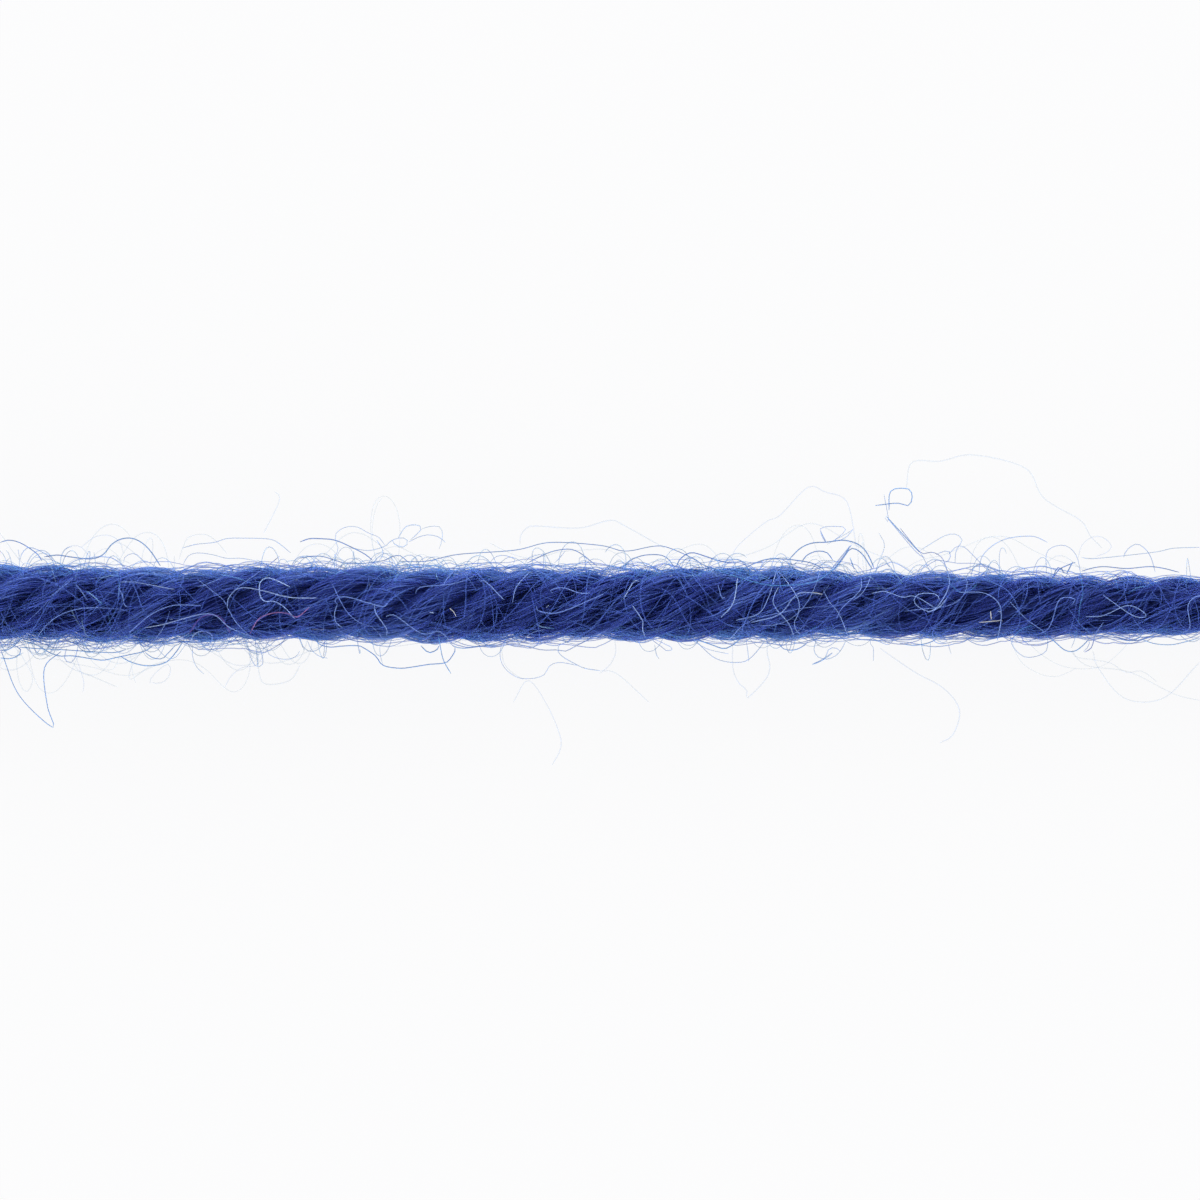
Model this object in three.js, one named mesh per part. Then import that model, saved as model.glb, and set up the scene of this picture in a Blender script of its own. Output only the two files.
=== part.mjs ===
import * as THREE from "three";

// A cut length of merino wool yarn: one soft strand of four plies, twisted together and laid
// straight on a surface. Sizes are in millimetres. X runs along the strand, Z is up, and the
// surface that the strand lies on is at Z = 0.

// Driving dimensions
const STRAND_LENGTH = 36;
const PLY_COUNT = 4;
// A ply's centre lies this many ply radii from the strand's axis. Hard round plies would lie
// 1.41 radii out, and soft wool packs closer.
const PLY_CENTRE_OUT = 1.1;
// The axis lies this share of the radius above the surface, so each crest is pressed flat there.
const AXIS_HEIGHT_SHARE = 0.84;

// How finely the strand is cut into faces
const RING_SPACING = 0.2;
const POINTS_PER_PLY = 6;

// A cut end draws in over this length, to this share of the radius.
const END_ROUNDING = 0.3;
const END_SHARE = 0.82;

// The strand along its length. x is the station's place, y how far the axis strays sideways,
// radius the distance from the axis to the crest of a ply, and turns how many times the plies
// have gone round the axis since the station at x = -12.
const STATIONS = [
  { x: -18, y: 0.03, radius: 0.7, turns: -1.4 },
  { x: -15, y: -0.02, radius: 0.73, turns: -0.7 },
  { x: -12, y: 0.02, radius: 0.75, turns: 0.0 },
  { x: -9, y: -0.02, radius: 0.74, turns: 0.7 },
  { x: -6, y: 0.03, radius: 0.73, turns: 1.35 },
  { x: -3, y: -0.02, radius: 0.73, turns: 1.99 },
  { x: 0, y: 0.0, radius: 0.71, turns: 2.71 },
  { x: 3, y: 0.01, radius: 0.71, turns: 3.43 },
  { x: 6, y: -0.02, radius: 0.64, turns: 4.14 },
  { x: 9, y: -0.05, radius: 0.62, turns: 4.84 },
  { x: 12, y: -0.04, radius: 0.57, turns: 5.61 },
  { x: 15, y: -0.01, radius: 0.58, turns: 6.33 },
  { x: 18, y: 0.02, radius: 0.6, turns: 7.03 },
];

// Reads a column of the stations at any place, on a smooth curve through its values.
function along(x, column) {
  const spacing = STATIONS[1].x - STATIONS[0].x;
  const last = STATIONS.length - 1;
  const place = THREE.MathUtils.clamp((x - STATIONS[0].x) / spacing, 0, last);
  const row = Math.min(Math.floor(place), last - 1);
  const at = (index) => STATIONS[THREE.MathUtils.clamp(index, 0, last)][column];
  const t = place - row;
  const leaving = (at(row + 1) - at(row - 1)) / 2;
  const arriving = (at(row + 2) - at(row)) / 2;
  const gain = at(row + 1) - at(row);
  const bend = 3 * gain - 2 * leaving - arriving;
  const ease = leaving + arriving - 2 * gain;
  return at(row) + t * (leaving + t * (bend + t * ease));
}

// The outline of the bundled plies: how far out its edge lies at an angle from the nearest ply's
// centre, as a share of the distance to a crest. Between two plies it dips into a groove.
function lobe(angle) {
  const across = PLY_CENTRE_OUT * Math.sin(angle);
  const out = PLY_CENTRE_OUT * Math.cos(angle);
  return (out + Math.sqrt(1 - across * across)) / (1 + PLY_CENTRE_OUT);
}

// How much of its radius the strand keeps at a place, which is less only near the cut ends.
function endShare(x) {
  const fromEnd = Math.min(STRAND_LENGTH / 2 - Math.abs(x), END_ROUNDING) / END_ROUNDING;
  const round = Math.sqrt(Math.max(0, fromEnd * (2 - fromEnd)));
  return END_SHARE + (1 - END_SHARE) * round;
}

// One ring of points round the strand. The plies climb from lower left to upper right as seen
// from above, so a point on top moves towards +Y as the turns grow.
function ring(x) {
  const pointCount = PLY_COUNT * POINTS_PER_PLY;
  const radius = along(x, "radius");
  const axisY = along(x, "y");
  const axisZ = AXIS_HEIGHT_SHARE * radius;
  const twist = 2 * Math.PI * along(x, "turns");
  const plyAngle = (2 * Math.PI) / PLY_COUNT;
  const points = [];
  for (let index = 0; index < pointCount; index += 1) {
    const round = (2 * Math.PI * index) / pointCount;
    const fromCrest = (round % plyAngle) - plyAngle / 2;
    const out = radius * endShare(x) * lobe(fromCrest);
    const angle = twist + round;
    const y = axisY + out * Math.sin(angle);
    const z = axisZ + out * Math.cos(angle);
    points.push(new THREE.Vector3(x, y, Math.max(0, z)));
  }
  return points;
}

// Where the rings stand: evenly along the strand, with closer ones on the rounding of each end.
function ringPlaces() {
  const half = STRAND_LENGTH / 2;
  const inner = half - END_ROUNDING;
  const spans = Math.round((2 * inner) / RING_SPACING);
  const places = [-half, -half + END_ROUNDING * 0.1, -half + END_ROUNDING * 0.4];
  for (let index = 0; index <= spans; index += 1) {
    places.push(-inner + (2 * inner * index) / spans);
  }
  places.push(half - END_ROUNDING * 0.4, half - END_ROUNDING * 0.1, half);
  return places;
}

// Skins the rings with triangles and closes both cut ends round a middle point.
function strandGeometry() {
  const rings = ringPlaces().map(ring);
  const count = rings[0].length;
  const points = rings.flat();
  const faces = [];
  for (let row = 0; row + 1 < rings.length; row += 1) {
    for (let index = 0; index < count; index += 1) {
      const here = row * count + index;
      const beside = row * count + ((index + 1) % count);
      faces.push(here, here + count, beside);
      faces.push(beside, here + count, beside + count);
    }
  }
  for (const row of [0, rings.length - 1]) {
    const middle = new THREE.Vector3();
    rings[row].forEach((point) => middle.addScaledVector(point, 1 / count));
    const hub = points.push(middle) - 1;
    for (let index = 0; index < count; index += 1) {
      const here = row * count + index;
      const beside = row * count + ((index + 1) % count);
      faces.push(hub, ...(row === 0 ? [here, beside] : [beside, here]));
    }
  }
  const geometry = new THREE.BufferGeometry().setFromPoints(points);
  geometry.setIndex(faces);
  geometry.computeVertexNormals();
  return geometry;
}

// The strand's own bottom middle is the origin.
function strand() {
  const wool = new THREE.MeshStandardMaterial({ color: 0x2f4285, roughness: 0.95, metalness: 0 });
  const geometry = strandGeometry();
  geometry.computeBoundingBox();
  const middle = geometry.boundingBox.getCenter(new THREE.Vector3());
  geometry.translate(-middle.x, -middle.y, -geometry.boundingBox.min.z);
  const mesh = new THREE.Mesh(geometry, wool);
  mesh.name = "yarn_strand";
  return mesh;
}

const yarn = new THREE.Group();
yarn.add(strand());

export default yarn;
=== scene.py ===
import math

import bpy
import numpy as np
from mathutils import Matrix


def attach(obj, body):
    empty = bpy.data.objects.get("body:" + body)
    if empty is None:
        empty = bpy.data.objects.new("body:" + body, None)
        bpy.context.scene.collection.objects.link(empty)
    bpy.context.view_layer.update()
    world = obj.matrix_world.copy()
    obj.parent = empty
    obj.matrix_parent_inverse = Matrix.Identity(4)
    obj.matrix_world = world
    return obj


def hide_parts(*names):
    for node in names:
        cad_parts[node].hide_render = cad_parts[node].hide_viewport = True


# A cut length of royal blue merino yarn on a pale lit table, seen straight from above.
# The strand is built fibre by fibre. Lengths are in millimetres until a mesh is written.
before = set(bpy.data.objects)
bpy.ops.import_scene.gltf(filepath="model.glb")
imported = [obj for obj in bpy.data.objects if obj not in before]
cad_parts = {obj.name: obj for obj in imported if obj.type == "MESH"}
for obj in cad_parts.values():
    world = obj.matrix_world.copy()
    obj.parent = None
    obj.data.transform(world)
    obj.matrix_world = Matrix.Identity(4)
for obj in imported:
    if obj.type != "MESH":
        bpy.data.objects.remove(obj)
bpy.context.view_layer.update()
MM = 0.001
NODE = "yarn_strand"
BODY = "root"

# The strand, with the same sizes and stations as the part's source
STRAND_LENGTH = 36.0
PLY_COUNT = 4
PLY_CENTRE_OUT = 1.1
AXIS_HEIGHT_SHARE = 0.84
END_ROUNDING = 0.3
STATION_COLUMNS = ("x", "y", "radius", "turns")
STATIONS = np.array([
    (-18, 0.03, 0.70, -1.40),
    (-15, -0.02, 0.73, -0.70),
    (-12, 0.02, 0.75, 0.00),
    (-9, -0.02, 0.74, 0.70),
    (-6, 0.03, 0.73, 1.35),
    (-3, -0.02, 0.73, 1.99),
    (0, 0.00, 0.71, 2.71),
    (3, 0.01, 0.71, 3.43),
    (6, -0.02, 0.64, 4.14),
    (9, -0.05, 0.62, 4.84),
    (12, -0.04, 0.57, 5.61),
    (15, -0.01, 0.58, 6.33),
    (18, 0.02, 0.60, 7.03),
])
HALF = STRAND_LENGTH / 2
PLY_ANGLE = 2 * math.pi / PLY_COUNT

# The photograph shows 25 mm of the strand across its whole width, a little below its middle.
VIEW_WIDTH = 25.0
VIEW_MIDDLE_Y = 0.09
VIEW_HEIGHT_Z = 0.65
LENS = 120.0
SENSOR = 36.0

# Merino fibre is about 0.02 mm thick. A three-sided tube with this radius looks that wide.
FIBRE_RADIUS = 0.0115
# A tube narrows to this share at both tips, and the fibres' radii differ by these shares.
TIP_SHARE = 0.55
THICKNESS = (0.85, 1.15)
LOOSE_THICKNESS = (0.8, 1.2)
# Each tube is rolled on from the one before, in radians.
GOLDEN_ANGLE = 2.4
# The wool stays this far off the surface and bends up from it this softly.
FLOOR_GAP = 0.004
FLOOR_SOFTNESS = 0.03
SEED = 20
# Loose fibres lie thicker towards the left, where the strand is thicker. At 1 they lie evenly.
LEFT_LEAN = 1.12

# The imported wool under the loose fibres
CORE_SHARE = 0.76
CORE_SIDES = 64
CORE_STEP = 0.15
# Where the rings of a rounded end stand, as shares of its length
CORE_TIP_RINGS = (0.1, 0.45, 0.75)
# How fast its streaks turn round the axis, in radians per millimetre, and how large they are
CORE_FIBRE_RATE = 0.55
CORE_STREAK_LENGTH = 0.9
CORE_STREAK_WIDTH = 0.045

# The fibres of the plies, from the inside out. They run in locks, small tufts that keep together.
# inner and outer are shares of the ply's radius, thinning how much sparser they get outwards,
# spread how unevenly they turn round their own ply, and dark and light the ends of the tints.
PLY_COLUMNS = ("name", "wool", "locks", "each", "steps", "radius", "inner", "outer", "thinning",
               "spread", "crimp", "dark", "light")
# Painted shade: the deeper layers take darker tints, for the shade deep inside each ply.
PLY_LAYERS = [
    ("ply_fibres_deep", "packed", 220, 9, 8, 0.0170, 0.52, 0.64, 1.0, 0.25, 0.012, 0.00, 0.32),
    ("ply_fibres_low", "packed", 320, 9, 9, 0.0135, 0.62, 0.75, 1.0, 0.28, 0.020, 0.08, 0.46),
    ("ply_fibres_mid", "loose", 440, 9, 9, 0.0120, 0.72, 0.86, 1.0, 0.25, 0.026, 0.15, 0.57),
    ("ply_fibres_top", "loose", 540, 8, 10, 0.0106, 0.82, 1.20, 1.8, 0.28, 0.032, 0.18, 0.65),
]
# Locks lie up to this far past the ends, and the fibres of one lock differ this much.
LOCK_OVERRUN = 0.4
LOCK_SPREAD = {"place": 0.15, "spin": 0.18, "wave": 0.08, "phase": 0.7, "share": 0.03, "tint": 0.12}
# Each ply is spun against the strand's twist, in radians per millimetre.
PLY_SPIN = -0.35
# A fibre runs this many radians to each side of its ply's crest, at no less than this rate, and
# its tips dip in by a share of the ply's radius. Too short ones are left out.
HALF_SPAN = 1.8
SLOWEST_CROSSING = 0.75
TIP_DIP = 0.10
SHORTEST_FIBRE = 0.35
# The length of a crimp, and how much of the layer's crimp a fibre has
CRIMP_WAVE = (0.8, 1.8)
CRIMP_SHARE = (0.3, 1.0)
# Fibres are cut this far before or past the end of the strand.
CUT_UNEVENNESS = (-0.12, 0.2)
# Painted shade: the wool's tint darkens towards the grooves, which lie about this many radians from
# a ply's crest.
PAINTED_GROOVE_SHADE = 0.60
GROOVE_ANGLE = 1.7
GROOVE_POWER = 1.6
# Plies that point down keep this share of their loose fibres. They do so below this cosine of
# the angle from straight up.
UNDERSIDE_SHARE = 0.35
UNDERSIDE_COSINE = -0.5
# Painted light: the wool's tint is made paler at the strand's sides, where light comes through the
# wool.
PAINTED_SIDE_LIGHT = 0.52
PAINTED_SIDE_LIGHT_POWER = 4.0

# Single fibres that stray over the surface. heading is their angle to the strand in radians,
# curl how sharply they turn per millimetre and reach how far a bend lasts. They start within
# about_side radians of a side, and bridge is how much of a groove they span without dipping in.
STRAY_COLUMNS = ("name", "wool", "count", "steps", "step", "about_side", "bridge", "lift",
                 "lift_spread", "heading", "spread", "curl", "reach", "radius", "dark", "light")
STRAY_LAYERS = [
    ("sheath_low", "sheath", 420, 20, 0.12, 2.0, 0.1,
     -0.05, 0.030, 0.42, 0.12, 0.30, 0.8, 0.0110, 0.0, 0.26),
    ("sheath_mid", "sheath", 520, 22, 0.12, 0.7, 0.3,
     0.00, 0.035, 0.32, 0.14, 0.35, 0.8, 0.0110, 0.0, 0.28),
    ("sheath_high", "sheath", 560, 22, 0.12, 0.45, 0.6,
     0.04, 0.060, 0.20, 0.17, 0.70, 0.7, 0.0105, 0.0, 0.24),
    ("sheath_edge", "sheath", 420, 24, 0.11, 0.30, 0.8,
     0.07, 0.085, 0.06, 0.20, 1.10, 0.6, 0.0110, 0.0, 0.26),
    ("close_fuzz", "stray", 22, 32, 0.10, 2.0, 0.6,
     0.10, 0.060, 0.25, 0.55, 1.60, 0.6, 0.0095, 0.0, 0.35),
    # Painted glints: short, very pale stubs that stand for small highlights on the fibres.
    ("specks", "stray", 70, 4, 0.03, 2.0, 0.0,
     0.05, 0.020, 0.40, 0.60, 1.00, 0.5, 0.0090, 0.9, 1.3),
]

# A stray fibre's height drifts over this reach. Its tips sink to a share of it over some steps.
LIFT_REACH = 0.6
TIP_LIFT_SHARE = 0.15
TIP_STEPS = 5.0
# Where it spans a groove, it lies at this share of the crests' height.
BRIDGE_SHARE = 0.97
# It stops this far before or past the end of the strand, and turns as if at least this far out.
STRAY_STOP = (-0.2, 0.5)
LEAST_OUT = 0.3

# Free fibres that leave the strand's sides, curl through the air and mostly come back. Painted
# light makes their tint paler and less blue over the free distance, as the open air around them
# lights them.
FREE_DISTANCE = 0.25
FREE_PAINTED_LIGHT = 0.7
# What holds them near the strand's mid height, off the surface, out of the wool and on the leash
HALO_LEVELLING = 5.0
HALO_FLOOR_LIFT = 30
HALO_LOWEST = 0.12
HALO_PUSH = 0.8
HALO_CLEARANCE = 0.02
HALO_SKIN = 0.05
HALO_MOST_PULL = 1.5
# They start about the sides with this spread in radians, and their leashes differ by these shares.
HALO_SPREAD = 0.3
LEASH_RANGE = (0.4, 1.6)
# This share of the free fibres starts in clumps. side is 1 at the upper edge and -1 at the lower.
CLUMPED_SHARE = 0.65
# The columns are the place, the side and how far the clump spreads.
CLUMPS = np.array([
    (-12.0, -1, 0.9),
    (-10.8, -1, 0.9),
    (-9.8, -1, 0.8),
    (-9.0, -1, 0.7),
    (-7.1, -1, 0.5),
    (-10.9, 1, 0.8),
    (-5.6, 1, 0.5),
    (-4.4, 1, 0.5),
    (-3.5, 1, 0.4),
    (-0.9, 1, 0.6),
    (1.9, 1, 0.6),
    (4.6, 1, 0.4),
    (5.5, 1, 0.4),
    (4.7, -1, 0.5),
    (7.3, 1, 0.7),
])
HALO_COLUMNS = ("name", "wool", "count", "steps", "step", "outward", "curl", "reach", "leash",
                "pull", "radius", "dark", "light")
HALO_LAYERS = [
    ("halo_near", "halo", 140, 34, 0.09, 0.25, 0.7, 1.0, 0.072, 3.0, 0.0106, 0.0, 0.3),
    ("halo_loops", "halo", 20, 36, 0.09, 0.6, 1.3, 0.7, 0.16, 4.0, 0.0090, 0.0, 0.3),
    ("halo_far", "faint", 26, 60, 0.10, 1.0, 1.2, 1.0, 0.40, 3.0, 0.0140, 0.5, 0.7),
]

# Stray fibres that can be told apart in the photograph, traced from above. Each row is one fibre,
# as points (x, y). These lie on the strand and follow its surface.
LYING_STRAYS = [
    [(-7.69, -0.06), (-7.67, 0.13), (-7.44, 0.34), (-6.98, 0.29), (-6.42, 0.15), (-5.83, 0.13)],
    [(-7.69, -0.06), (-7.5, -0.39), (-7.17, -0.77)],
    [(-6.4, 0.36), (-6.83, 0.54), (-7.02, 0.46), (-7.02, 0.19), (-6.92, 0.06), (-6.73, 0.06),
     (-6.52, -0.06), (-6.31, -0.29)],
    [(-9.92, 0.46), (-9.62, 0.46), (-8.79, 0.31)],
    [(-9.73, -0.58), (-9.27, -0.21), (-8.81, -0.02), (-8.23, -0.02)],
    [(-8.31, 0.36), (-8.08, 0.44), (-7.81, 0.56)],
    [(-8.33, 0.52), (-7.81, 0.13), (-7.69, -0.06)],
    [(-7.54, 0.31), (-7.15, 0.61), (-6.67, 1)],
    [(-11.35, 0.15), (-10.98, 0.46), (-10.9, 0.54)],
    [(-10.83, 0.42), (-10.69, 0.25), (-10.58, 0.09)],
    [(-9.94, 0.34), (-9.85, 0.19), (-9.83, 0.02), (-9.75, -0.06)],
    [(-9.42, -0.48), (-9.02, -0.41), (-8.08, -0.19), (-7.65, -0.48), (-7.17, -0.69)],
    [(-8.54, -0.85), (-8.44, -0.64), (-8.27, -0.56), (-8.08, -0.6), (-8.04, -0.71), (-8.12, -0.83),
     (-8.31, -0.89)],
    [(-5.42, 0), (-5.48, 0.11), (-5.21, 0.15), (-4.52, -0.04), (-4.38, 0.02)],
    [(-5.42, 0), (-5.48, -0.19), (-5.46, -0.37), (-5.33, -0.48)],
    [(-3.81, 0.23), (-3.69, 0.36), (-2.98, 0.44), (-2.4, 0.69)],
    [(-3.23, 0.38), (-3.19, 0.5), (-3.02, 0.71)],
    [(-4.42, -0.25), (-4.23, -0.23), (-3.69, -0.6), (-3.33, -0.56), (-3.08, -0.79)],
    [(-2.48, 0.48), (-2.35, 0.46), (-1.98, 0.09)],
    [(-1.81, 0.04), (-1.73, 0.36), (-1.46, 0.67)],
    [(-0.98, 0.23), (-1.02, 0.29), (-0.77, 0.34), (-0.42, 0.23), (-0.21, 0.23)],
    [(-1.31, -0.04), (-1.25, -0.14), (-0.83, -0.16), (0.06, 0.21)],
    [(-4.65, -0.02), (-4.62, -0.19), (-4.42, -0.5), (-4.42, -0.64)],
    [(3.58, 0.81), (3.85, 0.5), (4.1, 0.09), (4.1, -0.19), (4.02, -0.39), (4.1, -0.58),
     (4.31, -0.66)],
    [(3.69, 0.36), (3.58, 0.02), (3.9, -0.39), (4.02, -0.64)],
    [(3.12, -0.37), (3.69, -0.21), (4, 0.15), (4.21, 0.25), (4.58, 0.21)],
    [(2.81, -0.33), (3.27, -0.19), (3.48, 0.15), (3.65, 0.67)],
    [(0.67, -0.02), (0.88, -0.33), (0.88, -0.5), (0.94, -0.69)],
    [(0.48, 0.11), (0.69, 0.46), (0.81, 0.48)],
    [(2.44, 0.4), (2.52, 0.13), (2.58, 0.15)],
    [(2.85, 0.54), (2.75, 0.02), (2.5, -0.27)],
    [(5.42, 0.54), (5.38, 0.29), (5, -0.08), (4.9, -0.29)],
    [(5.62, 0.23), (5.9, 0.27), (6.25, 0.15), (6.52, 0.17), (6.94, -0.08)],
    [(4.62, 0.29), (4.75, 0.04), (4.94, -0.19), (5.15, -0.66)],
    [(6.25, 1.59), (6.67, 1.09), (6.88, 1.09), (7.04, 1.04), (7.17, 0.88), (7.25, 0.44),
     (6.98, -0.04), (6.77, -0.16)],
    [(7.02, 0.09), (6.94, 0.21), (6.6, 0.21), (6.5, 0.04), (6.77, -0.14), (7, -0.06), (7.17, 0.13)],
    [(7.44, 0.25), (7.98, 0.23), (8.29, -0.08), (8.27, -0.75)],
    [(8.48, 0.06), (8.81, -0.29), (9.21, -0.56)],
    [(8.9, -0.56), (9, -0.64), (9.31, -0.48), (9.5, 0.09), (9.83, 0.11), (9.75, -0.02)],
    [(10.06, -0.25), (10.42, -0.23), (10.94, -0.02), (11.33, -0.23), (11.04, -0.23), (10.42, 0.19)],
    [(12.5, 0.19), (12.29, 0.13), (12.17, -0.06), (12.25, -0.48), (12.12, -0.58)],
    [(10.44, -0.37), (10.31, -0.6), (10.25, -0.89), (10.1, -1)],
]

# These run along its edges.
EDGE_STRAYS = [
    [(-12.03, -0.75), (-11.71, -0.85), (-11.52, -0.97), (-11.27, -1.07), (-10.99, -1.07),
     (-10.6, -1.13), (-10.35, -1.16), (-10.1, -1.11), (-9.82, -1.05), (-9.48, -0.97),
     (-9.31, -0.85)],
    [(-9.98, -1.08), (-9.79, -1.19), (-9.5, -1.27), (-9.22, -1.26), (-9, -1.18), (-8.81, -0.97),
     (-8.69, -0.78)],
    [(-9.47, -1), (-9.31, -1.11), (-9.12, -1.13), (-9, -1.02), (-8.84, -0.85)],
    [(-12.5, -0.96), (-12.31, -0.94), (-12.19, -0.85), (-12.06, -0.72)],
    [(-12.5, -1.11), (-12.31, -1.13), (-12.12, -1.07), (-12.07, -0.94), (-12.22, -0.85)],
    [(-12.09, -0.89), (-11.71, -0.92), (-11.24, -0.94), (-10.92, -0.96), (-10.48, -0.99),
     (-10.1, -1), (-9.88, -0.94)],
    [(-5.96, -0.66), (-5.84, -0.83), (-5.62, -0.89), (-5.4, -0.87), (-5.05, -0.86), (-4.9, -0.92),
     (-4.67, -1.08), (-4.52, -1.27), (-4.17, -1.33), (-3.88, -1.3), (-3.57, -1.25), (-3.31, -1.23),
     (-3.17, -1.19), (-3.03, -0.99), (-3.02, -0.89)],
    [(-3.73, -0.86), (-3.57, -1), (-3.41, -0.95), (-3.35, -0.86)],
    [(-3.12, -0.81), (-3, -0.89), (-2.78, -0.91), (-2.46, -0.86), (-2.15, -0.84)],
    [(2.02, -0.73), (2.33, -0.84), (2.58, -0.92), (2.77, -0.84), (2.94, -0.7)],
    [(3.72, -0.78), (3.81, -0.92), (4.04, -0.95), (4.23, -0.87), (4.33, -0.78)],
    [(6.25, -0.81), (6.53, -0.85), (6.81, -0.81), (7, -0.73)],
    [(9.34, -0.66), (9.5, -0.79), (9.69, -0.95), (9.88, -0.98), (10.04, -0.88), (10.19, -0.73)],
    [(10.83, -0.7), (10.98, -0.75), (11.18, -0.73), (11.3, -0.63)],
    [(11.3, -0.73), (11.58, -0.82), (11.93, -0.84), (12.25, -0.77), (12.5, -0.7)],
    [(-12.5, 1.29), (-12.31, 1.34), (-12.09, 1.29), (-11.88, 1.17), (-11.71, 1.04), (-11.62, 0.9)],
    [(-11.58, 0.99), (-11.3, 1.03), (-11.02, 0.99), (-10.6, 0.95), (-10.35, 1.04), (-10.17, 1.25),
     (-9.98, 1.36), (-9.75, 1.38), (-9.53, 1.28), (-9.34, 1.09), (-9.15, 0.8)],
    [(-6.25, 0.96), (-6.06, 1), (-5.78, 1), (-5.52, 0.92), (-5.3, 0.86), (-4.99, 0.85),
     (-4.74, 0.88), (-4.48, 0.92), (-4.35, 0.99), (-4.17, 1.02), (-4.04, 0.92), (-3.95, 0.85)],
    [(-6.25, 1.3), (-6.06, 1.37), (-5.81, 1.37), (-5.52, 1.34), (-5.21, 1.21), (-4.9, 1.05),
     (-4.74, 0.92)],
    [(-1.52, 0.86), (-1.14, 1.05), (-0.88, 1.13), (-0.6, 1.15), (-0.38, 1.05), (-0.19, 0.9),
     (-0.06, 0.8)],
    [(0.47, 0.79), (0.69, 0.95), (0.95, 1.03), (1.26, 1.03), (1.42, 0.95), (1.54, 0.79)],
    [(1.58, 0.76), (1.67, 0.95), (1.9, 1.08), (2.21, 1), (2.52, 0.9), (2.83, 0.86)],
    [(2.83, 0.64), (3.16, 0.83), (3.47, 0.94), (3.79, 0.95), (4.1, 0.92), (4.42, 0.86),
     (4.67, 0.73)],
    [(3.95, 0.95), (4.17, 1.17), (4.42, 1.28), (4.73, 1.3), (5.05, 1.34), (5.33, 1.28),
     (5.52, 1.14), (5.65, 0.92), (5.71, 0.76)],
    [(4.2, 0.86), (4.29, 1.01), (4.51, 1.11), (4.73, 1.08), (4.85, 0.92)],
    [(4.9, 0.77), (5.1, 1.02), (5.25, 1.17), (5.46, 1.06), (5.68, 0.73)],
    [(5.21, 0.97), (5.3, 0.73)],
    [(10.04, 0.69), (10.23, 0.75), (10.51, 0.79), (10.98, 0.75), (11.46, 0.79), (11.77, 0.75),
     (12.08, 0.67)],
    [(9.41, 0.5), (9.56, 0.72), (9.75, 0.82), (9.91, 0.88)],
    [(9.44, 0.54), (9.52, 0.75), (9.62, 0.75), (9.71, 0.63), (9.85, 0.88)],
]

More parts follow.
